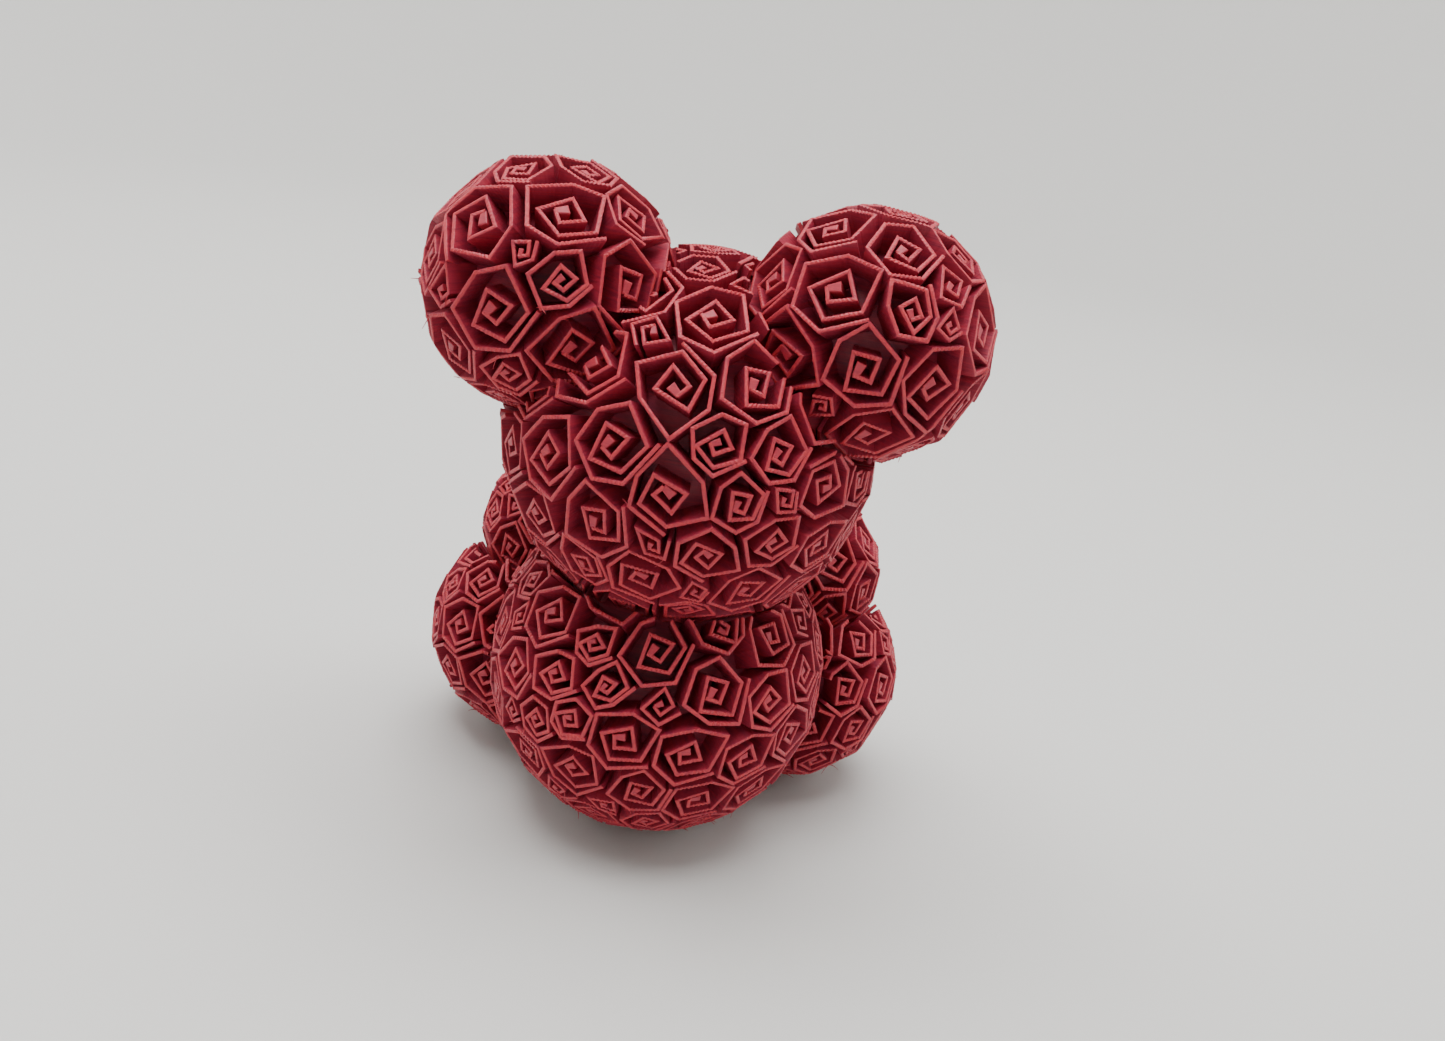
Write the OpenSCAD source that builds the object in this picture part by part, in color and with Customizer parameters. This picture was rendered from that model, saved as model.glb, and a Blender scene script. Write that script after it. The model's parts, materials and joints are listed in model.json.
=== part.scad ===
// Seated bear figure whose ball-shaped parts are covered in raised, squared-off spiral roses.
// Millimetres. +Z is up and the figure faces -Y. The origin is the centre of its base.

/* [Body] */
// Radius of the body ball over its roses
body_r = 39; // [36:0.5:40]
// Height of the body ball's centre
body_z = 37; // [36:0.5:38]
// Radius of the round foot under the body
foot_r = 13; // [11:0.5:13]

/* [Head] */
// Radius of the head ball over its roses
head_r = 41.5; // [40:0.5:42]
// Height of the head ball's centre
head_z = 93.5; // [93:0.5:96]
// Radius of each ear ball over its roses
ear_r = 27.3; // [25:0.1:28]
// Distance of an ear's centre to the side
ear_x = 33.5; // [32:0.5:35]
// Distance of an ear's centre behind the middle
ear_y = 3; // [0:0.5:5]
// Height of an ear's centre
ear_z = 122.7; // [121:0.1:124]
// Radius of the muzzle ball over its roses
muzzle_r = 15; // [13:0.5:16]
// Distance of the muzzle's centre in front of the middle
muzzle_y = 36.5; // [36:0.5:38]
// Height of the muzzle's centre
muzzle_z = 86.5; // [85:0.5:90]

/* [Limbs] */
// Radius of each arm ball over its roses
arm_r = 20; // [18:0.5:20]
// Distance of an arm's centre to the side
arm_x = 31; // [31:0.5:33]
// Distance of an arm's centre in front of the middle
arm_y = 35; // [35:0.5:37]
// Height of an arm's centre
arm_z = 52.5; // [50:0.5:52.5]
// Radius of each leg ball over its roses
leg_r = 27.3; // [25:0.1:28]
// Distance of a leg's centre to the side
leg_x = 32.3; // [31:0.1:34]
// Distance of a leg's centre in front of the middle
leg_y = 27; // [25:0.5:29]

/* [Walls and roses] */
// Thickness of the shells
wall = 2.4; // [2:0.1:3]
// Height that the roses stand above the shells of the larger balls
rose_h = 7.5; // [7:0.25:7.5]
// Height that the roses stand above the shells of the arms and the muzzle
low_rose_h = 5; // [4.5:0.25:5]
// Thickness of a large rose's wall
rose_t = 1.1; // [0.8:0.1:1.2]
// Thickness of a small rose's wall
small_t = 0.8; // [0.6:0.1:0.8]
// Radius of the largest roses
rose_big = 8.6; // [7:0.1:9]
// Radius of the middling roses
rose_mid = 6.6; // [6.2:0.1:7]
// Radius of the roses on the smallest balls
rose_low_mid = 5.3; // [5:0.1:5.6]
// Radius of the small roses that fill in
rose_small = 4.4; // [4.4:0.1:4.8]

/* [Pegs] */
// Radius of the neck peg
neck_peg_r = 6; // [5:0.5:6]
// Radius of a shoulder peg
arm_peg_r = 3; // [2.5:0.25:3.5]
// Radius of a glued dowel
dowel_r = 3; // [2.5:0.25:3.5]
// Running clearance of a peg, on the radius
peg_gap = 0.05; // [0.03:0.01:0.08]
// Clearance between two balls that turn against each other
ball_gap = 0.3; // [0.3:0.05:0.5]

/* [Hidden] */

LEFT = 1;     // the figure's left side is at +X
RIGHT = -1;
rose_red = [0.72, 0.13, 0.15];
shell_red = [0.55, 0.08, 0.10];
peg_red = [0.62, 0.10, 0.12];
$fn = 64;

// Ball centres
body_c = [0, 0, body_z];
head_c = [0, 0, head_z];
muzzle_c = [0, -muzzle_y, muzzle_z];
function ear_c(s) = [s * ear_x, ear_y, ear_z];
function arm_c(s) = [s * arm_x, -arm_y, arm_z];
function leg_c(s) = [s * leg_x, -leg_y, leg_r];

// Shell radii under the roses
body_core = body_r - rose_h;
head_core = head_r - rose_h;
muzzle_core = muzzle_r - low_rose_h;
ear_core = ear_r - rose_h;
arm_core = arm_r - low_rose_h;
leg_core = leg_r - rose_h;

boss_wall = 3;          // wall of the bosses that hold pegs and dowels
boss_deep = 6;          // length of the bosses inside the body and the head
neck_deep = 14;         // length of the neck peg inside the head
arm_deep = 12;          // length of a shoulder peg inside its arm
ear_deep = 11;          // length of a dowel inside its ear
hip_deep = 11;          // length of a dowel inside its leg
muzzle_deep = 4;        // length of the dowel inside the muzzle
foot_plate = 2;         // thickness of the base plug's flange
foot_top = 12;          // height at which the round foot has run into the body ball
plug_r = foot_r - 3;    // radius of the base plug's spigot
plug_h = 9;             // height of the base plug over all
pad_r = 7;              // radius of the flat pad under each leg
pad_top = 10;           // height at which a pad has run into its leg
clip_t = 1.6;           // thickness of a retaining clip
clip_rim = 2.4;         // how far a clip stands out beyond its peg
groove = 0.8;           // depth of a peg's groove
groove_at = 2;          // height of a peg's groove above the peg's lower end
clip_play = 0.2;        // gap between a clip and its boss
glue_gap = 0.05;        // clearance of a glued dowel, on the radius
over = 1;               // length that a hole runs on past the peg or the face that it is for
sink = 0.4;             // depth that a rose's corners reach into its shell
floor_room = 0.5;       // lowest that a rose may reach
swing = 35;             // turn of every second and third rose about its own axis, in degrees
fine_below = 6;         // radius below which a rose's wall is thin
short_below = 5;        // radius below which a rose winds fewer turns
seats = 1500;           // directions tried when roses are set out on a ball
seat_turns = 20;        // turns of the line that the seats follow from the ball's top to its bottom
nest = 0.72;            // how closely neighbouring roses nest; 1 leaves their round outlines clear

function unit(v) = v / norm(v);

// Points a module's +Z along v from point c
module along(c, v) {
    translate(c)
        rotate([0, acos(unit(v)[2]), atan2(v[1], v[0])])
            children();
}

module ball(c, r) {
    translate(c) sphere(r);
}

module rod(r, low, high) {
    translate([0, 0, low]) cylinder(r = r, h = high - low);
}

// Shapes are drawn for the right side, and the left side's are their mirror image
module on_side(s) {
    mirror([s == LEFT ? 1 : 0, 0, 0]) children();
}

// ---- Roses ----

// Middle line of a rose's wall at unit radius, wound clockwise from its rim to its heart
spiral = [[1.04, -0.14], [0.27, -1.03], [-0.56, -0.85], [-0.93, 0.04], [-0.29, 0.72],
          [0.49, 0.86], [0.73, -0.14], [0.16, -0.70], [-0.54, -0.34], [-0.08, 0.40],
          [0.40, 0.02], [0, -0.36], [-0.26, -0.10]];
short_spiral = [for (i = [0:8]) spiral[i]];

function left_of(v) = [-v[1], v[0]];

// Point i of line p moved sideways by d, with mitred corners
function beside(p, i, d) =
    let (before = unit(p[max(i, 1)] - p[max(i, 1) - 1]),
         after = unit(p[min(i, len(p) - 2) + 1] - p[min(i, len(p) - 2)]),
         m = left_of(before) + left_of(after))
    p[i] + m * 2 * d / (m * m);

// Outline of a wall of thickness t along line p
function ribbon(p, t) =
    concat([for (i = [0:len(p) - 1]) beside(p, i, t / 2)],
           [for (i = [len(p) - 1:-1:0]) beside(p, i, -t / 2)]);

// Direction i of the seats, which wind down the ball in one long spiral
function seat(i) =
    let (tilt = 180 * (i + 0.5) / seats, turn = 360 * seat_turns * i / seats)
    [sin(tilt) * cos(turn), sin(tilt) * sin(turn), cos(tilt)];

// Height of a rose's flat bottom above its ball's centre, for a ball of shell radius core
function rose_low(core, r) = sqrt(pow(core - sink, 2) - r * r);

// Farthest that a rose of radius r reaches from its own axis
function rose_reach(r) = 1.06 * r + 0.6 * rose_t;

// Half the angle that a rose of radius r takes up at its bottom
function rose_angle(core, r) = atan2(rose_reach(r), rose_low(core, r));

// True where a rose of radius r in direction d stays outside every ball in keep = [[centre, radius]].
// A place is a ball that takes roses: [centre, shell radius, height of its roses]
function is_clear(place, d, r, keep) =
    let (near = place[0] + d * place[1], far = near + d * place[2])
    min([for (k = keep) min(norm(near - k[0]), norm(far - k[0])) - k[1] - rose_reach(r)]) > 0
    && min(near[2], far[2]) - rose_reach(r) * sqrt(1 - d[2] * d[2]) > floor_room;

function has_room(core, d, r, cells) =
    len([for (q = cells)
         if (acos(min(1, d * q[0])) < nest * (rose_angle(core, r) + rose_angle(core, q[1]))) 1]) == 0;

// Adds a rose on every seat that still has room, taking its radius from the list mix in turn
function grow(place, mix, keep, cells, i = 0) =
    i >= seats ? cells :
    let (r = mix[len(cells) % len(mix)])
    grow(place, mix, keep,
         is_clear(place, seat(i), r, keep) && has_room(place[1], seat(i), r, cells)
             ? concat(cells, [[seat(i), r]]) : cells, i + 1);

// All roses of one ball: each round's mix of radii fills the room that the rounds before it left
function set_out(place, keep, rounds, cells = [], i = 0) =
    i >= len(rounds) ? cells :
    set_out(place, keep, rounds, grow(place, rounds[i], keep, cells), i + 1);

module rose(place, r) {
    low = rose_low(place[1], r);
    high = sqrt(pow(place[1] + place[2], 2) - pow(rose_reach(r), 2));
    path = r < short_below ? short_spiral : spiral;
    translate([0, 0, low])
        linear_extrude(high - low)
            polygon(ribbon([for (p = path) p * r], r < fine_below ? small_t : rose_t));
}

rose_upper = (rose_big + rose_mid) / 2;
large_rounds = [[rose_big, rose_upper, rose_mid], [rose_mid], [rose_low_mid], [rose_small]];
small_rounds = [[rose_mid, rose_low_mid], [rose_low_mid], [rose_small]];

module roses(place, keep, rounds = large_rounds) {
    cells = set_out(place, keep, rounds);
    color(rose_red)
        for (i = [0:len(cells) - 1])
            along(place[0], cells[i][0]) rotate(90 + swing * (i % 3 - 1)) rose(place, cells[i][1]);
}

// ---- Pegs, clips and dowels ----

// Boss inside a ball of shell radius core, from its wall inwards, for a rod of radius r
module boss(core, r) {
    rod(r + boss_wall, core - wall - boss_deep, core - wall / 2);
}

// Hole through a boss and its wall, for a glued rod of radius r
module boss_hole(core, r) {
    rod(r + glue_gap, core - wall - boss_deep - over, core + over);
}

// Retaining clip: a split ring that snaps into the groove of a peg of radius r
module clip(r) {
    difference() {
        cylinder(r = r + clip_rim, h = clip_t);
        rod(r - groove, -over, clip_t + over);
        translate([0, -r * 0.8, -over]) cube([r + 2 * clip_rim, r * 1.6, clip_t + 2 * over]);
    }
}

// Peg of radius r from z = low to z = high, with a groove for its clip
module grooved_peg(r, low, high) {
    difference() {
        rod(r, low, high);
        difference() {
            rod(r + over, low + groove_at, low + groove_at + clip_t);
            rod(r - groove, low, high);
        }
    }
}

// Shell of a ball glued to the larger ball c2, with a boss for its dowel
module glued_shell(c, core, c2, core2, deep) {
    reach = norm(c - c2);
    along(c2, c - c2)
        difference() {
            translate([0, 0, reach]) sphere(core);
            difference() {
                translate([0, 0, reach]) sphere(core - wall);
                sphere(core2 + wall);
                rod(dowel_r + boss_wall, core2, core2 + deep + over);
            }
            sphere(core2);
            rod(dowel_r + glue_gap, core2 - over, core2 + deep + over);
        }
}

// Dowel across the face where ball c is glued to a larger ball c2
module dowel(c, c2, core2, deep) {
    color(peg_red)
        along(c2, c - c2) rod(dowel_r, core2 - wall - boss_deep + over, core2 + deep);
}

// ---- Body ----

head_seat = [head_c, head_r + ball_gap];
function arm_seat(s) = [arm_c(s), arm_r + ball_gap];
neck_top = head_z - head_core - ball_gap;   // lowest point of the head's seat
neck_low = neck_top - boss_deep;            // underside of the neck boss
arm_reach = norm(arm_c(LEFT) - body_c);
arm_seat_at = arm_reach - arm_core - ball_gap;  // from the body's centre to the arm's seat
arm_boss_at = arm_seat_at - boss_deep;

module body_shell() {
    color(shell_red)
    difference() {
        union() {
            ball(body_c, body_core);
            rod(foot_r, foot_plate, foot_top);
            for (s = [LEFT, RIGHT])
                along(body_c, arm_c(s) - body_c)
                    rod(arm_peg_r + boss_wall, arm_boss_at, arm_seat_at + over);
        }
        difference() {
            ball(body_c, body_core - wall);
            ball(head_c, head_core + ball_gap + wall);
            rod(neck_peg_r + boss_wall, neck_low, neck_top + boss_deep);
            for (s = [LEFT, RIGHT]) {
                along(body_c, arm_c(s) - body_c) rod(arm_peg_r + boss_wall, arm_boss_at, body_core);
                along(body_c, leg_c(s) - body_c) boss(body_core, dowel_r);
            }
        }
        ball(head_c, head_core + ball_gap);
        rod(neck_peg_r + peg_gap, neck_low - over, neck_top + boss_deep);
        rod(plug_r + glue_gap, foot_plate - over, foot_top);
        for (s = [LEFT, RIGHT]) {
            ball(arm_c(s), arm_core + ball_gap);
            along(body_c, arm_c(s) - body_c)
                rod(arm_peg_r + peg_gap, arm_boss_at - over, arm_seat_at + over);
            along(body_c, leg_c(s) - body_c) boss_hole(body_core, dowel_r);
        }
    }
}

module body_roses() {
    roses([body_c, body_core, rose_h],
          [head_seat, arm_seat(LEFT), arm_seat(RIGHT), [leg_c(LEFT), leg_r], [leg_c(RIGHT), leg_r],
           [[0, 0, 0], foot_r]]);
}

module base_plug() {
    color(peg_red) {
        cylinder(r = foot_r, h = foot_plate);
        rod(plug_r, foot_plate, plug_h);
    }
}

// ---- Head ----

head_low = head_z - head_core;
muzzle_reach = norm(muzzle_c - head_c);
neck_peg_low = neck_low - clip_play - clip_t - groove_at;

module head_shell() {
    color(shell_red)
    difference() {
        ball(head_c, head_core);
        difference() {
            ball(head_c, head_core - wall);
            rod(neck_peg_r + boss_wall, head_low, head_low + neck_deep + over);
            for (s = [LEFT, RIGHT])
                along(head_c, ear_c(s) - head_c) boss(head_core, dowel_r);
            along(head_c, muzzle_c - head_c) boss(head_core, dowel_r);
        }
        rod(neck_peg_r + glue_gap, head_low - over, head_low + neck_deep + 2 * over);
        for (s = [LEFT, RIGHT])
            along(head_c, ear_c(s) - head_c) boss_hole(head_core, dowel_r);
        along(head_c, muzzle_c - head_c) boss_hole(head_core, dowel_r);
    }
}

module head_roses() {
    roses([head_c, head_core, rose_h],
          [[body_c, body_core + ball_gap], [ear_c(LEFT), ear_r], [ear_c(RIGHT), ear_r],
           [muzzle_c, muzzle_r]]);
}

module neck_peg() {
    color(peg_red) grooved_peg(neck_peg_r, neck_peg_low, head_low + neck_deep);
}

module neck_clip() {
    color(peg_red) translate([0, 0, neck_peg_low + groove_at]) clip(neck_peg_r);
}

module ear_shell(s) {
    color(shell_red) on_side(s) glued_shell(ear_c(RIGHT), ear_core, head_c, head_core, ear_deep);
}

module ear_roses(s) {
    roses([ear_c(s), ear_core, rose_h], [[head_c, head_core]]);
}

module ear_dowel(s) {
    dowel(ear_c(s), head_c, head_core, ear_deep);
}

// The muzzle is too small to be hollow
module muzzle_shell() {
    color(shell_red)
    along(head_c, muzzle_c - head_c)
        difference() {
            translate([0, 0, muzzle_reach]) sphere(muzzle_core);
            sphere(head_core);
            rod(dowel_r + glue_gap, head_core - over, head_core + muzzle_deep + over);
        }
}

module muzzle_roses() {
    roses([muzzle_c, muzzle_core, low_rose_h], [[head_c, head_core]], small_rounds);
}

module muzzle_dowel() {
    dowel(muzzle_c, head_c, head_core, muzzle_deep);
}

// ---- Arms ----

arm_peg_low = arm_boss_at - clip_play - clip_t - groove_at;

module arm_shell(s) {
    color(shell_red)
    on_side(s)
    difference() {
        ball(arm_c(RIGHT), arm_core);
        difference() {
            ball(arm_c(RIGHT), arm_core - wall);
            along(body_c, arm_c(RIGHT) - body_c)
                rod(arm_peg_r + boss_wall, arm_seat_at, arm_seat_at + arm_deep + over);
        }
        along(body_c, arm_c(RIGHT) - body_c)
            rod(arm_peg_r + glue_gap, arm_seat_at - over, arm_seat_at + arm_deep + 2 * over);
    }
}

module arm_roses(s) {
    roses([arm_c(s), arm_core, low_rose_h], [[body_c, body_core + ball_gap]], small_rounds);
}

module shoulder_peg(s) {
    color(peg_red)
        along(body_c, arm_c(s) - body_c) grooved_peg(arm_peg_r, arm_peg_low, arm_seat_at + arm_deep);
}

module shoulder_clip(s) {
    color(peg_red)
        along(body_c, arm_c(s) - body_c)
            translate([0, 0, arm_peg_low + groove_at]) clip(arm_peg_r);
}

// ---- Legs ----

module leg_shell(s) {
    color(shell_red)
    on_side(s)
    difference() {
        union() {
            ball(leg_c(RIGHT), leg_core);
            translate([leg_c(RIGHT)[0], leg_c(RIGHT)[1], 0]) cylinder(r = pad_r, h = pad_top);
        }
        difference() {
            ball(leg_c(RIGHT), leg_core - wall);
            ball(body_c, body_core + wall);
            ball(arm_c(RIGHT), arm_r + ball_gap + wall);
            along(body_c, leg_c(RIGHT) - body_c)
                rod(dowel_r + boss_wall, body_core, body_core + hip_deep + over);
        }
        ball(body_c, body_core);
        ball(arm_c(RIGHT), arm_r + ball_gap);
        along(body_c, leg_c(RIGHT) - body_c)
            rod(dowel_r + glue_gap, body_core - over, body_core + hip_deep + over);
    }
}

module leg_roses(s) {
    roses([leg_c(s), leg_core, rose_h],
          [[body_c, body_core], arm_seat(s), [[leg_c(s)[0], leg_c(s)[1], 0], pad_r]]);
}

module hip_dowel(s) {
    dowel(leg_c(s), body_c, body_core, hip_deep);
}

body_shell();
body_roses();
base_plug();
head_shell();
head_roses();
neck_peg();
neck_clip();
muzzle_shell();
muzzle_roses();
muzzle_dowel();
ear_shell(LEFT);  // left_ear_shell
ear_shell(RIGHT);  // right_ear_shell
ear_roses(LEFT);  // left_ear_roses
ear_roses(RIGHT);  // right_ear_roses
ear_dowel(LEFT);  // left_ear_dowel
ear_dowel(RIGHT);  // right_ear_dowel
arm_shell(LEFT);  // left_arm_shell
arm_shell(RIGHT);  // right_arm_shell
arm_roses(LEFT);  // left_arm_roses
arm_roses(RIGHT);  // right_arm_roses
shoulder_peg(LEFT);  // left_shoulder_peg
shoulder_peg(RIGHT);  // right_shoulder_peg
shoulder_clip(LEFT);  // left_shoulder_clip
shoulder_clip(RIGHT);  // right_shoulder_clip
leg_shell(LEFT);  // left_leg_shell
leg_shell(RIGHT);  // right_leg_shell
leg_roses(LEFT);  // left_leg_roses
leg_roses(RIGHT);  // right_leg_roses
hip_dowel(LEFT);  // left_hip_dowel
hip_dowel(RIGHT);  // right_hip_dowel
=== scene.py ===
"""Looks of the seated rose bear: detailed rose skins, finishes, floor, light and camera
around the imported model. Lengths in the mesh code are millimetres unless a name says otherwise."""

import json
import math

import bpy
import numpy as np
from mathutils import Matrix, Vector


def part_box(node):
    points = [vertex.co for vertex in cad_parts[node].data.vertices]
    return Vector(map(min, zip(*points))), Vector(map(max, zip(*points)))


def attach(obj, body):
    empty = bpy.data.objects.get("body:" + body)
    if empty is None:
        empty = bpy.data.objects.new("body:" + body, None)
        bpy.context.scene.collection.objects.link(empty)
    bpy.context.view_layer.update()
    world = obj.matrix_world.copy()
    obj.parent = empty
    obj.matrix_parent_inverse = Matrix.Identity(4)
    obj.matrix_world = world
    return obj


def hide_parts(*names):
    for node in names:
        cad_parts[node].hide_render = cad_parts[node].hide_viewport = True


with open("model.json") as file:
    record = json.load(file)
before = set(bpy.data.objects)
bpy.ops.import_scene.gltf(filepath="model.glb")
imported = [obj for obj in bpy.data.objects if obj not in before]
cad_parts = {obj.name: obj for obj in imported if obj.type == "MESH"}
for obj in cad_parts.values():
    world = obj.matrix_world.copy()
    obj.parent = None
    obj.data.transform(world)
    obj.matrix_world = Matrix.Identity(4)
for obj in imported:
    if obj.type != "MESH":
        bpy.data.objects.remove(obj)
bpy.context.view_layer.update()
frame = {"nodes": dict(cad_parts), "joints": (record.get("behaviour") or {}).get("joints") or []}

MM = 0.001                  # metres in a millimetre
SEED = 20                   # of the random draws, which are the same on every run
TINY = 1e-9                 # stands in for zero where it would divide

# ---- Sizes of the roses ----
ROSE_HEIGHT = 7.5           # roses above the shells of the larger balls, at their corners
LOW_ROSE_HEIGHT = 5.0       # the same on the arms and the muzzle
HEIGHT_DRIFT = (-0.5, 0.1)  # least and most that one rose's height differs from that
CORNER_AT = 0.97            # where those corners are, as a share of a rose's radius
WALL = 0.82                 # wall of a rose
SMALL_WALL = 0.72           # wall of the smallest roses
SMALL_ROSE = 5.2            # roses below this radius wind fewer turns
ROOT = 0.5                  # depth that a rose reaches into its shell
DRAFT = 0.6                 # how far a rose's walls lean in: 0 parallel, 1 to the ball's centre
WOBBLE = 0.018              # how far a rose's corners stray, as a share of its radius

# ---- How roses meet their neighbours ----
COVER = 1.0                 # area of the roses' circles as a share of their ball's
AREA_ROOM = 0.25            # walls added to a rose's radius when its area is counted
NEST_ROOM = 0.3             # walls added to a rose's radius when roses are pushed apart
PUSHES = 400                # rounds of pushing the roses apart
EASE = 0.5                  # share of an overlap that one push takes away
FAR = 9.0                   # more radians, or radii, than roses can be apart
POLE = 0.05                 # a direction this near to upright has no up of its own
GAP = 0.25                  # gap between the rims of neighbouring roses
RIM_SHARE = 0.93            # the least that a rose is taken to reach, as a share of its radius
SQUEEZE = 0.6               # most that a rose is drawn in to meet its neighbours
STRETCH = 1.35              # most that a rose's rim is drawn out to meet them
STRETCH_START = 0.55        # corners inside this share of the radius aren't drawn out
STRETCH_SPAN = 0.3          # corners this much further out are drawn out in full
TURN_TRIES = 7              # turns tried for each rose
TURN_SPREAD = 19            # how far they spread round the usual turn, in degrees
ODD_TURNS = [75, -80, 150]  # turns of the few roses that are set quite another way, in degrees
ODD_SHARE = 0.16            # share of the roses that have such a turn
FOOT_ROOM = 0.3             # lowest a rose may reach above the floor
TURN_ROOM = 0.3             # room between a rose and a ball that turns against it
SEAM_ROOM = 0.1             # room between a rose and a ball that stays still beside it

# ---- Detail of the walls ----
STEP = 0.45                 # spacing of the sections along a rose's wall
FEWEST = 3                  # sections that a stretch of wall has at least
MITRE_LIMIT = 0.55          # keeps the mitre at a sharp corner short
TRIM_MARKS = 5              # places up a wall where a strict trim is tried
STUB = 0.15                 # walls that trims leave less than this share of are left out
BEVEL = 0.12                # rounding of a rim's edges
CROWN = 0.05                # rise of a rim's middle
SHOULDER = 0.02             # fall of a rim's shoulders
TOOTH = 0.15                # height of the teeth that layers leave along a level rim
TOOTH_FADE = 1.6            # how quickly the teeth fade as a rim tilts
UNEVEN = 0.02               # random unevenness of a wall's upper part
HEART_TOP = 0.8             # width of a heart's top as a share of its sides'
HEART_DROP = 0.02           # depth of a heart's top below the rim
HEART_STUB = 0.2            # hearts that trims leave less than this share of are left out

# ---- Stray strings ----
STRING = 0.13               # radius of a string
STRING_LENGTH = (0.8, 2.6)  # shortest and longest string
STRING_PARTS = 6            # sections along a string
STRING_BEND = 0.25          # sideways bend, as a share of the length
STRING_SAG = 0.3            # sag, as a share of the length
STRING_TAPER = 0.6          # share of its radius that a string loses towards its end
STRING_LIFT = (-0.1, 0.5)   # how much a string turns outwards from its rim
STRING_STRAY = 0.25         # random part of a string's direction
STRING_DROP = 0.1           # depth of a string's start below the rim
STRING_CLEAR = 4.0          # room to the next ball that a rim needs before it has a string
MOST_STRINGS = 1.6          # strings on a rose that faces down, on average
STRING_FACING = 0.5         # roses that face further up than this have none
# How far strings stand out from each kind of ball: hardly at all where balls turn closely
STRING_OVER = {"ear": 2.0, "body": 2.0, "leg": 2.0, "head": 0.3, "arm": 0.1}

# Middle line of a rose's wall at unit radius, wound clockwise from its rim to its heart
SPIRAL = [(1.04, -0.14), (0.27, -1.03), (-0.56, -0.85), (-0.93, 0.04), (-0.29, 0.72),
          (0.49, 0.86), (0.73, -0.14), (0.16, -0.70), (-0.54, -0.34), (-0.08, 0.40),
          (0.40, 0.02), (0.00, -0.36), (-0.26, -0.10)]
OUTER = 6                   # points of its outermost turn
HEART = [(-0.28, -0.08), (-0.07, 0.16), (0.08, -0.01), (-0.15, -0.17)]
SMALL_SPIRAL = [(1.0, -0.12), (0.15, -1.0), (-0.85, -0.42), (-0.12, 0.92), (0.62, 0.12),
                (0.10, -0.48), (-0.36, -0.12)]
SMALL_HEART = [(-0.40, -0.10), (-0.07, 0.26), (0.13, 0.0), (-0.2, -0.22)]

# How far each part takes the paler colour of the rims, which is mostly a painted highlight and
# partly dust on raised edges: foot, edge and crown points across a wall
WALL_HIGHLIGHT_AND_DUST = np.array([0.0, 0.25, 1.0, 1.0, 1.0, 0.25, 0.0])
HEART_HIGHLIGHT_AND_DUST = 0.6
STRING_HIGHLIGHT_AND_DUST = 0.8


# ---- Balls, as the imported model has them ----

def joint_of(name):
    return next(j for j in frame["joints"] if j["name"] == name)


def ball_from_box(node, cut):
    """Centre and radius of a shell's ball. cut gives, for each axis, the side where another
    ball bites into it: -1 the low side, 1 the high side, 0 none."""
    low, high = (np.array(p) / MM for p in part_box(node))
    radius = max((high - low)[i] for i in range(3) if cut[i] == 0) / 2
    centre = [high[i] - radius if cut[i] < 0 else low[i] + radius if cut[i] > 0
              else (low[i] + high[i]) / 2 for i in range(3)]
    return np.array(centre), radius


def leg_from_box(node, side):
    """Centre and radius of a leg's ball, which stands as high as its roses."""
    low, high = (np.array(p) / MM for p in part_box(node))
    radius = (high[1] - low[1]) / 2
    x = high[0] - radius if side == "left" else low[0] + radius
    return np.array([x, low[1] + radius, radius + ROSE_HEIGHT]), radius


def find_balls():
    """Each ball's centre, shell radius and radius over its roses, by name."""
    balls = {}
    for side, cut in (("left", -1), ("right", 1)):
        balls[side + "_ear"] = ball_from_box(side + "_ear_shell", (cut, 0, -1))
        balls[side + "_leg"] = leg_from_box(side + "_leg_shell", side)
        arm = joint_of(side + "_arm_swivel")
        balls[side + "_arm"] = (np.array(arm["pos_m"]) / MM,
                                ball_from_box(side + "_arm_shell", (0, 0, 0))[1])
    balls["head"] = (np.array(joint_of("head_swivel")["pos_m"]) / MM,
                     ball_from_box("head_shell", (0, 0, 1))[1])
    balls["muzzle"] = ball_from_box("muzzle_shell", (0, 1, 0))
    # The arms turn about lines through the body's centre
    arm = joint_of("left_arm_swivel")
    at, axis = np.array(arm["pos_m"]) / MM, np.array(arm["axis"])
    balls["body"] = (at - axis * at[0] / axis[0],
                     ball_from_box("body_shell", (0, 0, 1))[1])
    return {name: (centre, core, core + rise_of(name)) for name, (centre, core) in balls.items()}


def rise_of(name):
    return LOW_ROSE_HEIGHT if name == "muzzle" or name.endswith("_arm") else ROSE_HEIGHT


BALLS = find_balls()
CAD_BODY = {"body": "body", "left_leg": "body", "right_leg": "body", "head": "head",
            "left_ear": "head", "right_ear": "head", "muzzle": "head",
            "left_arm": "left_arm", "right_arm": "right_arm"}
# Balls that meet at a seam: the first keeps its roses whole and bites into the second's
SEAMS = [("head", "body"), ("left_ear", "head"), ("right_ear", "head"), ("muzzle", "head"),
         ("left_arm", "body"), ("right_arm", "body"), ("body", "left_leg"),
         ("body", "right_leg")]
# Balls that turn in a hollow of the second's shell
HOLLOWS = [("left_arm", "left_leg"), ("right_arm", "right_leg")]
# Largest rose on each ball, and the shares of it that the roses take in turn
LARGEST = {"body": 8.0, "head": 8.9, "left_ear": 9.4, "right_ear": 9.4, "left_leg": 7.8,
           "right_leg": 7.8, "left_arm": 7.4, "right_arm": 7.4, "muzzle": 6.4}
MIX = [1.0, 0.94, 0.74, 1.0, 0.86, 0.52, 0.96, 0.68, 1.0, 0.8, 0.46, 0.9]


# ---- Where the roses go ----

def unit(v):
    return v / np.linalg.norm(v, axis=-1, keepdims=True)


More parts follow.
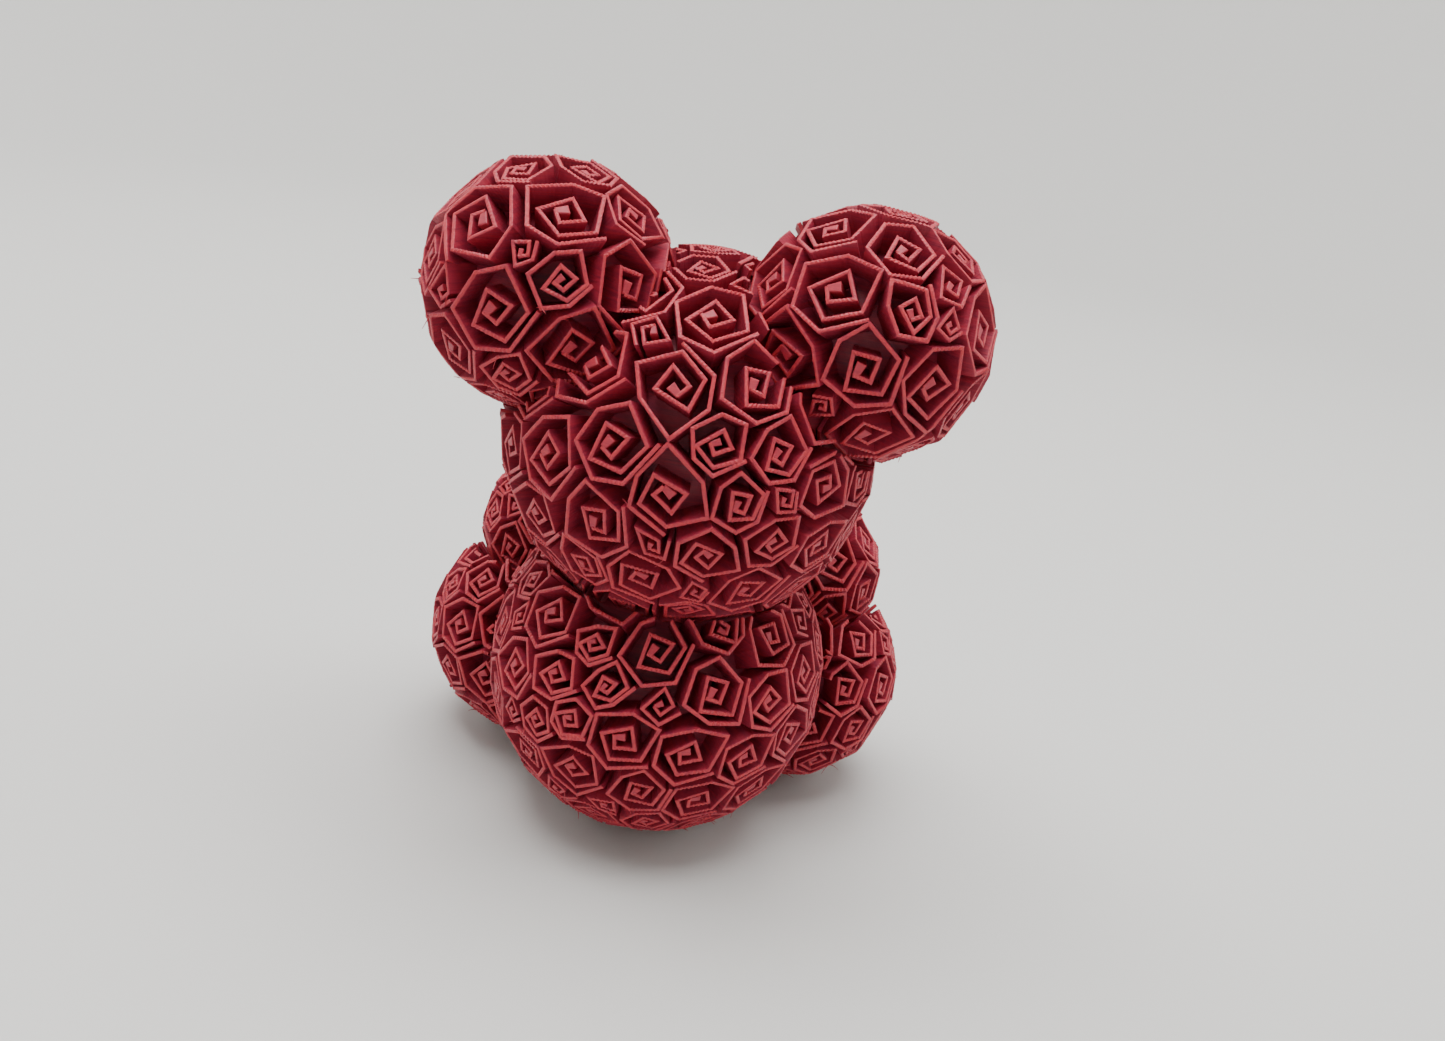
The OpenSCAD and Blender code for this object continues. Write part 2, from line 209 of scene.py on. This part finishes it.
def spread(skin, largest, rng):
    """Directions and radii of the roses that fill a whole ball, pushed apart until they nest,
    and the half angles that they take up."""
    radii, covered = [], 0.0
    while covered < COVER * 4 * math.pi * skin ** 2:
        radii.append(largest * MIX[len(radii) % len(MIX)])
        covered += math.pi * (radii[-1] + AREA_ROOM * WALL) ** 2
    radii = np.array(radii)[rng.permutation(len(radii))]
    at = unit(rng.normal(size=(len(radii), 3)))
    size = np.arcsin((radii + NEST_ROOM * WALL) / skin)
    for _ in range(PUSHES):
        cosine = np.clip(at @ at.T, -1, 1)
        apart = np.arccos(cosine)
        np.fill_diagonal(apart, FAR)
        push = np.clip(size[:, None] + size[None] - apart, 0, None)
        away = at[:, None] - at[None] * cosine[..., None]
        length = np.linalg.norm(away, axis=2)
        np.fill_diagonal(length, 1)
        share = size[None] / (size[:, None] + size[None])
        step = ((push * share / np.maximum(length, TINY))[..., None] * away).sum(1)
        at = unit(at + EASE * step)
    return at, radii, size


def axes_at(direction):
    """Right and up on a ball's surface, seen from outside."""
    up = np.array([0, 0, 1.0]) - direction[2] * direction
    if np.linalg.norm(up) < POLE:
        up = np.array([0, 1.0, 0]) - direction[1] * direction
    up = unit(up)
    return np.cross(up, direction), up


def room_along(i, angles, height, at, size):
    """How far rose i may reach at these angles before it meets a neighbour's share of the ball."""
    right, up = axes_at(at[i])
    rays = np.cos(angles)[:, None] * right + np.sin(angles)[:, None] * up
    edges = np.delete(at[i] / math.cos(size[i]) - at / np.cos(size)[:, None], i, 0)
    slope, rise = edges @ rays.T, (edges @ at[i])[:, None]
    reach = np.where(slope < -TINY, rise / np.maximum(-slope, TINY), FAR)
    return height * reach.min(0)


def fitted_line(points, turn, radius, wall, room):
    """A rose's middle line, turned, and drawn in or out to meet its neighbours."""
    points = np.array(points)
    angles = np.arctan2(points[:, 1], points[:, 0]) + turn
    share = np.hypot(points[:, 0], points[:, 1])
    fit = (room(angles) - GAP / 2 - wall / 2) / (np.maximum(RIM_SHARE, share) * radius)
    fit = np.clip(fit, SQUEEZE, STRETCH)
    rim = np.clip((share - STRETCH_START) / STRETCH_SPAN, 0, 1)
    fit = np.where(fit > 1, 1 + (fit - 1) * rim, fit)
    far = fit * share * radius
    return np.stack([far * np.cos(angles), far * np.sin(angles)], 1)


def area_of(line):
    x, y = line.T
    return abs(np.sum(x * np.roll(y, -1) - y * np.roll(x, -1))) / 2


def pick_turn(rng, radius, wall, room):
    """Turn of a rose about its own axis: of a few near its usual one, that which fills its room."""
    odd = rng.random() < ODD_SHARE
    usual = math.radians(rng.choice(ODD_TURNS)) if odd else 0.0
    turns = usual + np.radians(rng.normal(0, TURN_SPREAD, TURN_TRIES))
    return max(turns, key=lambda t: area_of(fitted_line(SPIRAL[:OUTER], t, radius, wall, room)))


# ---- Shape of one rose ----

def edges_of(line, wall):
    """Left and right edge points of a wall along line, mitred at the corners."""
    step = unit(np.diff(line, axis=0))
    before = np.vstack([step[:1], step])
    after = np.vstack([step, step[-1:]])
    side = np.stack([-before[:, 1] - after[:, 1], before[:, 0] + after[:, 0]], 1)
    square = (side ** 2).sum(1, keepdims=True)
    offset = side * wall / np.maximum(square, MITRE_LIMIT)
    return line + offset, line - offset


def sections(line, wall):
    """Left and right edge points of the wall every STEP or so."""
    left, right = edges_of(line, wall)
    shares = []
    for k in range(len(line) - 1):
        count = max(2, round(np.linalg.norm(line[k + 1] - line[k]) / STEP))
        shares += [(k, j / count) for j in range(count)]
    shares.append((len(line) - 2, 1.0))
    k = np.array([s[0] for s in shares])
    t = np.array([s[1] for s in shares])[:, None]
    return left[k] * (1 - t) + left[k + 1] * t, right[k] * (1 - t) + right[k + 1] * t


def trims_for(name):
    """Functions that give how far points are outside what a ball's roses must stay out of, each
    with whether it is strict: whether a wall that starts inside goes altogether."""
    own, _, skin = BALLS[name]
    trims = [(lambda p: p[..., 2] - FOOT_ROOM, True),
             (lambda p: skin - np.linalg.norm(p - own, axis=-1), True)]

    def stay_out(other, radius):
        turns = CAD_BODY[name] != CAD_BODY[other]
        centre, clear = BALLS[other][0], radius + (TURN_ROOM if turns else SEAM_ROOM)
        trims.append((lambda p: np.linalg.norm(p - centre, axis=-1) - clear, turns))

    for whole, bitten in SEAMS + HOLLOWS:
        if name == bitten:
            stay_out(whole, BALLS[whole][2])
    for whole, bitten in SEAMS:
        if name == whole:
            stay_out(bitten, BALLS[bitten][1])
    return trims


def allowed_share(foot, top, trims):
    """How much of each line from foot to top the trims leave, from 0 to 1."""
    share = np.ones(foot.shape[:-1])
    for trim, strict in trims:
        marks = np.linspace(0, 1, TRIM_MARKS if strict else 2)
        values = [trim(foot + (top - foot) * t) for t in marks]
        for a, b, low, high in zip(marks, marks[1:], values, values[1:]):
            cut = np.where(low > 0, a + (b - a) * low / np.maximum(low - high, TINY), a)
            share = np.where(high < 0, np.minimum(share, cut), share)
        if strict:
            share = np.where(values[0] < 0, 0, share)
    return share


class Skin:
    """Collects the vertices, faces and rim values of one ball's roses."""

    def __init__(self):
        self.points, self.faces, self.rims, self.count = [], [], [], 0

    def tube(self, rings, rims):
        """Adds a closed tube through rings, an array of sections by columns by 3."""
        n, m = rings.shape[:2]
        faces = [(a * m + b, a * m + (b + 1) % m, (a + 1) * m + (b + 1) % m, (a + 1) * m + b)
                 for a in range(n - 1) for b in range(m)]
        faces.append(tuple(range(m - 1, -1, -1)))
        faces.append(tuple((n - 1) * m + b for b in range(m)))
        self.faces += [tuple(i + self.count for i in f) for f in faces]
        self.points.append(rings.reshape(-1, 3))
        self.rims.append(np.tile(rims, n))
        self.count += n * m

    def make(self, name):
        mesh = bpy.data.meshes.new(name)
        mesh.from_pydata((np.vstack(self.points) * MM).tolist(), [], self.faces)
        # The rim attribute gives each point's share of the paler rim colour: mostly a painted
        # highlight, partly dust on raised edges
        rim = mesh.attributes.new("rim", "FLOAT", "POINT")
        rim.data.foreach_set("value", np.concatenate(self.rims).astype(np.float32))
        mesh.validate()
        mesh.update()
        piece = bpy.data.objects.new(name, mesh)
        bpy.context.scene.collection.objects.link(piece)
        return piece


def stretches(kept):
    """Where each stretch of wall to be kept starts, and the section after its end."""
    edges = np.flatnonzero(np.diff(np.concatenate([[False], kept, [False]])))
    return [(a, b) for a, b in edges.reshape(-1, 2) if b - a >= FEWEST]


def add_wall(skin, place, line, wall, low, high, taper, trims, rng):
    """One rose's wall: foot, edge and crown points on both sides of every section."""
    left, right = sections(line, wall)
    middle = (left + right) / 2
    across = (right - left) / wall
    flat = [left * taper, left, left + across * BEVEL, middle,
            right - across * BEVEL, right, right * taper]
    run = unit(np.gradient(place(middle, high), axis=0))
    level = np.clip(1 - TOOTH_FADE * abs(run[:, 2]), 0, 1)
    crown = high + level * TOOTH * (-1.0) ** np.arange(len(left))
    heights = [low, crown - BEVEL, crown - SHOULDER, crown + CROWN,
               crown - SHOULDER, crown - BEVEL, low]
    rings = np.stack([place(f, h) for f, h in zip(flat, heights)], 1)
    feet = np.stack([place(f * taper, np.full(len(f), low)) for f in flat], 1)
    feet[:, [0, -1]] = rings[:, [0, -1]]
    share = allowed_share(feet, rings, trims)
    rings = feet + (rings - feet) * share[..., None]
    rings[:, 1:-1] += rng.normal(scale=UNEVEN, size=rings[:, 1:-1].shape)
    for start, end in stretches((share.min(1) > 0) & (share.max(1) > STUB)):
        skin.tube(rings[start:end], WALL_HIGHLIGHT_AND_DUST)


def add_heart(skin, place, outline, low, high, taper, trims):
    """The filled corner at the end of a rose's wall."""
    middle = outline.mean(0)
    inner = middle + (outline - middle) * HEART_TOP
    foot = place(outline * taper, low)
    tops = np.stack([foot, place(outline, high - BEVEL), place(inner, high)])
    feet = np.stack([foot] * len(tops))
    share = allowed_share(feet, tops, trims)
    if share.min() >= HEART_STUB:
        skin.tube(feet + (tops - feet) * share[..., None], np.full(len(outline), HEART_HIGHLIGHT_AND_DUST))


def add_string(skin, name, start, way, length, rng):
    """A stray printed string: a thin tapering rod that sags from a rim."""
    way = unit(way)
    side = unit(np.cross(way, rng.normal(size=3)))
    other = np.cross(way, side)
    t = np.linspace(0, 1, STRING_PARTS)[:, None]
    bend = side * rng.normal(0, STRING_BEND) - np.array([0, 0, STRING_SAG])
    centre, _, outer = BALLS[name]
    from_centre = start + length * (way * t + bend * t ** 2) - centre
    far = np.linalg.norm(from_centre, axis=1, keepdims=True)
    limit = outer + STRING_OVER[name.split("_")[-1]]
    middle = centre + from_centre * np.minimum(1, limit / far)
    radius = STRING * (1 - STRING_TAPER * t)
    rings = np.stack([middle + out * radius for out in (side, other, -side, -other)], 1)
    skin.tube(rings, np.full(rings.shape[1], STRING_HIGHLIGHT_AND_DUST))


def clear_of_balls(name, point):
    """Whether a point is well away from the floor and every other ball."""
    others = [(c, r) for other, (c, _, r) in BALLS.items() if other != name]
    return point[2] > STRING_CLEAR and all(
        np.linalg.norm(point - c) - r > STRING_CLEAR for c, r in others)


def add_strings(skin, name, rims, normal, rng):
    """A few strings from a rose that faces sideways or down."""
    if name.split("_")[-1] not in STRING_OVER:
        return
    for _ in range(rng.poisson(MOST_STRINGS * np.clip(STRING_FACING - normal[2], 0, 1))):
        k = rng.integers(1, len(rims) - 1)
        if clear_of_balls(name, rims[k]):
            run = (rims[k + 1] - rims[k - 1]) * rng.choice([-1, 1])
            way = unit(run) + rng.uniform(*STRING_LIFT) * normal + rng.normal(0, STRING_STRAY, 3)
            add_string(skin, name, rims[k], way, rng.uniform(*STRING_LENGTH), rng)


def add_rose(skin, name, i, at, radii, size, trims, rng):
    """Rose i of a ball, unless it lies wholly in what its trims take away."""
    centre, core, outer = BALLS[name]
    radius = radii[i]
    small = radius < SMALL_ROSE
    wall = SMALL_WALL if small else WALL
    reach = CORNER_AT * radius
    height = math.sqrt(outer ** 2 - reach ** 2) + rng.uniform(*HEIGHT_DRIFT)
    low = core - ROOT
    taper = 1 - DRAFT * (1 - low / height)
    low = math.sqrt(low ** 2 - (taper * reach) ** 2)
    right, up = axes_at(at[i])

    def place(flat, h):
        h = np.broadcast_to(h, flat.shape[:-1])[..., None]
        return centre + flat[..., :1] * right + flat[..., 1:] * up + h * at[i]

    def room(angles):
        return room_along(i, angles, height, at, size)

    if any(trim(place(np.zeros(2), height)) < -radius for trim, _ in trims):
        return
    turn = pick_turn(rng, radius, wall, room)
    shape, heart = (SMALL_SPIRAL, SMALL_HEART) if small else (SPIRAL, HEART)
    shape = np.array(shape) + rng.normal(0, WOBBLE, (len(shape), 2))
    line = fitted_line(shape, turn, radius, wall, room)
    add_wall(skin, place, line, wall, low, height, taper, trims, rng)
    add_strings(skin, name, place(line[:OUTER], height - STRING_DROP), at[i], rng)
    blob = fitted_line(heart, turn, radius, wall, room)
    add_heart(skin, place, blob[::-1], low, height - HEART_DROP, taper, trims)


def rose_skin(name):
    """The roses of one ball, as one piece that stands for its CAD node."""
    rng = np.random.default_rng(SEED + sorted(BALLS).index(name))
    trims = trims_for(name)
    at, radii, size = spread(BALLS[name][2], LARGEST[name], rng)
    skin = Skin()
    for i in range(len(radii)):
        add_rose(skin, name, i, at, radii, size, trims, rng)
    piece = skin.make(name + "_rose_skin")
    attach(piece, CAD_BODY[name])
    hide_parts(name + "_roses")
    return piece


# ---- Materials ----

# Colours, as linear red, green and blue
DEEP_RED = (0.18, 0.014, 0.040)     # darkest streaks
ROSE_RED = (0.35, 0.022, 0.046)
# Paler rim colour: mostly a painted highlight on the rims, partly dust on raised edges
RIM_HIGHLIGHT_AND_DUST_RED = (0.49, 0.029, 0.037)
SHELL_RED = (0.32, 0.020, 0.042)
PALE_CARD = (0.56, 0.553, 0.535)
CARD_ROUGHNESS = 0.75

NOISE_RANGE = (0.3, 0.7)            # part of a noise's range that its values mostly lie in
STREAKS = (0.12, 0.12, 2.4)         # streaks to the millimetre along each axis: long and level
STREAK_DETAIL = 2.0
PATCHES = 0.9                       # patches of a rim to the millimetre
PATCH_SHARE = (0.35, 1.0)           # least and most of the rims' colour that a patch shows
GLOSS_PATCHES = 1.5                 # patches of gloss to the millimetre
ROUGHNESS = (0.42, 0.62)
SPECULAR = 0.38
HALF_RIDGE = 0.2                    # half the spacing of the ridges that printed layers leave
LAYER_DEPTH = 0.08                  # depth of the grooves between layers
LAYER_STRENGTH = 0.6
GRAINS = 2.6                        # grains to the millimetre
GRAIN_DETAIL = 4.0
GRAIN_SHARE = 0.12                  # height of the grain beside that of the layers


def nodes_of(name):
    material = bpy.data.materials.new(name)
    material.use_nodes = True
    tree = material.node_tree
    return material, tree.nodes, tree.links, tree.nodes["Principled BSDF"]


def scaled_position(nodes, links):
    """Object coordinates in millimetres."""
    where = nodes.new("ShaderNodeTexCoord")
    scale = nodes.new("ShaderNodeVectorMath")
    scale.operation = "SCALE"
    scale.inputs["Scale"].default_value = 1 / MM
    links.new(where.outputs["Object"], scale.inputs[0])
    return scale.outputs["Vector"]


def noise(nodes, links, at, scale, detail=3.0):
    n = nodes.new("ShaderNodeTexNoise")
    n.inputs["Scale"].default_value = scale
    n.inputs["Detail"].default_value = detail
    links.new(at, n.inputs["Vector"])
    return n.outputs["Fac"]


def ramp(nodes, links, value, low, high):
    """A noise's value carried from its usual range to low and high."""
    m = nodes.new("ShaderNodeMapRange")
    least, most = NOISE_RANGE
    for key, number in (("From Min", least), ("From Max", most), ("To Min", low), ("To Max", high)):
        m.inputs[key].default_value = number
    links.new(value, m.inputs["Value"])
    return m.outputs["Result"]


def blend_colour(nodes, links, factor, a, b):
    mix = nodes.new("ShaderNodeMix")
    mix.data_type = "RGBA"
    for socket, value in ((mix.inputs["A"], a), (mix.inputs["B"], b)):
        if isinstance(value, tuple):
            socket.default_value = value + (1.0,)
        else:
            links.new(value, socket)
    links.new(factor, mix.inputs["Factor"])
    return mix.outputs["Result"]


def layer_streaks(nodes, links, at):
    """Fine level streaks, as printed layers differ a little from one to the next."""
    squash = nodes.new("ShaderNodeVectorMath")
    squash.operation = "MULTIPLY"
    squash.inputs[1].default_value = STREAKS
    links.new(at, squash.inputs[0])
    streaks = noise(nodes, links, squash.outputs["Vector"], 1.0, STREAK_DETAIL)
    return ramp(nodes, links, streaks, 0.0, 1.0)


def rim_highlight_and_dust(nodes, links, at):
    """How far a point takes the paler rim colour, which is mostly a painted highlight and partly
    dust on raised edges: by the mesh's own rim values, in patches.
    """
    rim = nodes.new("ShaderNodeAttribute")
    rim.attribute_name = "rim"
    patchy = ramp(nodes, links, noise(nodes, links, at, PATCHES), *PATCH_SHARE)
    edge = nodes.new("ShaderNodeMath")
    edge.operation = "MULTIPLY"
    links.new(rim.outputs["Fac"], edge.inputs[0])
    links.new(patchy, edge.inputs[1])
    return edge.outputs["Value"]


def layer_bump(nodes, links, at):
    """Printed layers as fine level ridges, with a little grain."""
    split = nodes.new("ShaderNodeSeparateXYZ")
    links.new(at, split.inputs["Vector"])
    wave = nodes.new("ShaderNodeMath")
    wave.operation = "PINGPONG"
    wave.inputs[1].default_value = HALF_RIDGE
    links.new(split.outputs["Z"], wave.inputs[0])
    grain = nodes.new("ShaderNodeMath")
    grain.operation = "MULTIPLY_ADD"
    grain.inputs[1].default_value = GRAIN_SHARE
    links.new(noise(nodes, links, at, GRAINS, GRAIN_DETAIL), grain.inputs[0])
    links.new(wave.outputs["Value"], grain.inputs[2])
    bump = nodes.new("ShaderNodeBump")
    bump.inputs["Distance"].default_value = LAYER_DEPTH * MM
    bump.inputs["Strength"].default_value = LAYER_STRENGTH
    links.new(grain.outputs["Value"], bump.inputs["Height"])
    return bump.outputs["Normal"]


def printed_plastic(name, plain, rims):
    """Matt printed plastic: faint colour drift, paler rims that are mostly a painted highlight and
    partly dust on raised edges, and printed layers as fine ridges.
    """
    material, nodes, links, shader = nodes_of(name)
    at = scaled_position(nodes, links)
    walls = blend_colour(nodes, links, layer_streaks(nodes, links, at), DEEP_RED, plain)
    # Mixes in the paler rim colour: mostly a painted highlight, partly dust on raised edges
    colour = blend_colour(nodes, links, rim_highlight_and_dust(nodes, links, at), walls, rims)
    gloss = ramp(nodes, links, noise(nodes, links, at, GLOSS_PATCHES), *ROUGHNESS)
    links.new(colour, shader.inputs["Base Color"])
    links.new(gloss, shader.inputs["Roughness"])
    links.new(layer_bump(nodes, links, at), shader.inputs["Normal"])
    shader.inputs["Specular IOR Level"].default_value = SPECULAR
    return material


def paint(piece, material):
    piece.data.materials.clear()
    piece.data.materials.append(material)


# ---- Floor, light and camera, in metres ----

FLOOR_MIDDLE = 0.3          # radius of the floor's middle face
BEND_START = 0.8            # radius at which the floor starts to sweep up
BEND = 0.5                  # radius of the sweep
BEND_STEP = 6               # degrees between the sweep's points
WALL_TOP = 1.0              # height of the wall round the floor
WORLD_GREY = 0.9
WORLD_STRENGTH = 0.1
VIEW = (181, 22, 9)         # camera's azimuth, elevation and roll, in degrees
DISTANCE = 0.3145           # from the camera to what it looks at
LOOKS_AT = Vector((-0.010, 0.0, 0.075))
SENSOR = 36                 # width of the camera's sensor, in millimetres
LENS = 34.9                 # its focal length, in millimetres


def revolved(name, outline, steps=96):
    """Smooth surface turned about Z from an outline of (radius, height) points."""
    points = [(r * math.cos(2 * math.pi * k / steps), r * math.sin(2 * math.pi * k / steps), z)
              for r, z in outline for k in range(steps)]
    faces = [(a * steps + k, a * steps + (k + 1) % steps,
              (a + 1) * steps + (k + 1) % steps, (a + 1) * steps + k)
             for a in range(len(outline) - 1) for k in range(steps)]
    faces.append(tuple(range(steps - 1, -1, -1)))
    mesh = bpy.data.meshes.new(name)
    mesh.from_pydata(points, [], faces)
    mesh.polygons.foreach_set("use_smooth", [True] * len(faces))
    piece = bpy.data.objects.new(name, mesh)
    bpy.context.scene.collection.objects.link(piece)
    return piece


def studio_floor():
    """A pale floor that sweeps up into a wall all round."""
    angles = [math.radians(a) for a in range(0, 91, BEND_STEP)]
    sweep = [(BEND_START + BEND * math.sin(a), BEND - BEND * math.cos(a)) for a in angles]
    outline = [(FLOOR_MIDDLE, 0.0)] + sweep + [(BEND_START + BEND, WALL_TOP)]
    floor = revolved("studio_floor", outline)
    material, _, _, shader = nodes_of("pale_card")
    shader.inputs["Base Color"].default_value = PALE_CARD + (1.0,)
    shader.inputs["Roughness"].default_value = CARD_ROUGHNESS
    paint(floor, material)


def area_light(name, at, target, size, watts):
    data = bpy.data.lights.new(name, "AREA")
    data.size = size
    data.energy = watts
    light = bpy.data.objects.new(name, data)
    light.location = at
    light.rotation_mode = "QUATERNION"
    light.rotation_quaternion = (Vector(target) - Vector(at)).to_track_quat("-Z", "Y")
    bpy.context.scene.collection.objects.link(light)


def lighting():
    """A large soft lamp above, a weaker one at each side, and a little light from all round."""
    world = bpy.data.worlds.new("studio")
    world.use_nodes = True
    background = world.node_tree.nodes["Background"]
    background.inputs["Color"].default_value = (WORLD_GREY, WORLD_GREY, WORLD_GREY, 1)
    background.inputs["Strength"].default_value = WORLD_STRENGTH
    bpy.context.scene.world = world
    area_light("overhead", at=(0.05, -0.1, 1.25), target=(0, 0, 0.05), size=1.2, watts=38)
    for name, x in (("right_side", -1.1), ("left_side", 1.1)):
        area_light(name, at=(x, -0.3, 0.7), target=(0, 0, 0.08), size=1.0, watts=7)


def camera():
    """The photograph's view: from behind, a little above, and rolled."""
    azimuth, elevation, roll = (math.radians(a) for a in VIEW)
    back = Vector((math.sin(azimuth) * math.cos(elevation),
                   -math.cos(azimuth) * math.cos(elevation), math.sin(elevation)))
    right = Vector((math.cos(azimuth), math.sin(azimuth), 0))
    up = back.cross(right)
    across = right * math.cos(roll) + up * math.sin(roll)
    upward = up * math.cos(roll) - right * math.sin(roll)
    data = bpy.data.cameras.new("camera")
    data.sensor_width = SENSOR
    data.lens = LENS
    cam = bpy.data.objects.new("camera", data)
    bpy.context.scene.collection.objects.link(cam)
    turn = Matrix((across, upward, back)).transposed()
    cam.matrix_world = Matrix.Translation(LOOKS_AT + back * DISTANCE) @ turn.to_4x4()
    bpy.context.scene.camera = cam


# ---- Making it ----

camera()
studio_floor()
lighting()

rose_red = printed_plastic("rose_red", ROSE_RED, RIM_HIGHLIGHT_AND_DUST_RED)
shell_red = printed_plastic("shell_red", SHELL_RED, SHELL_RED)

for node in frame["nodes"].values():
    paint(node, shell_red)
for ball in BALLS:
    paint(rose_skin(ball), rose_red)
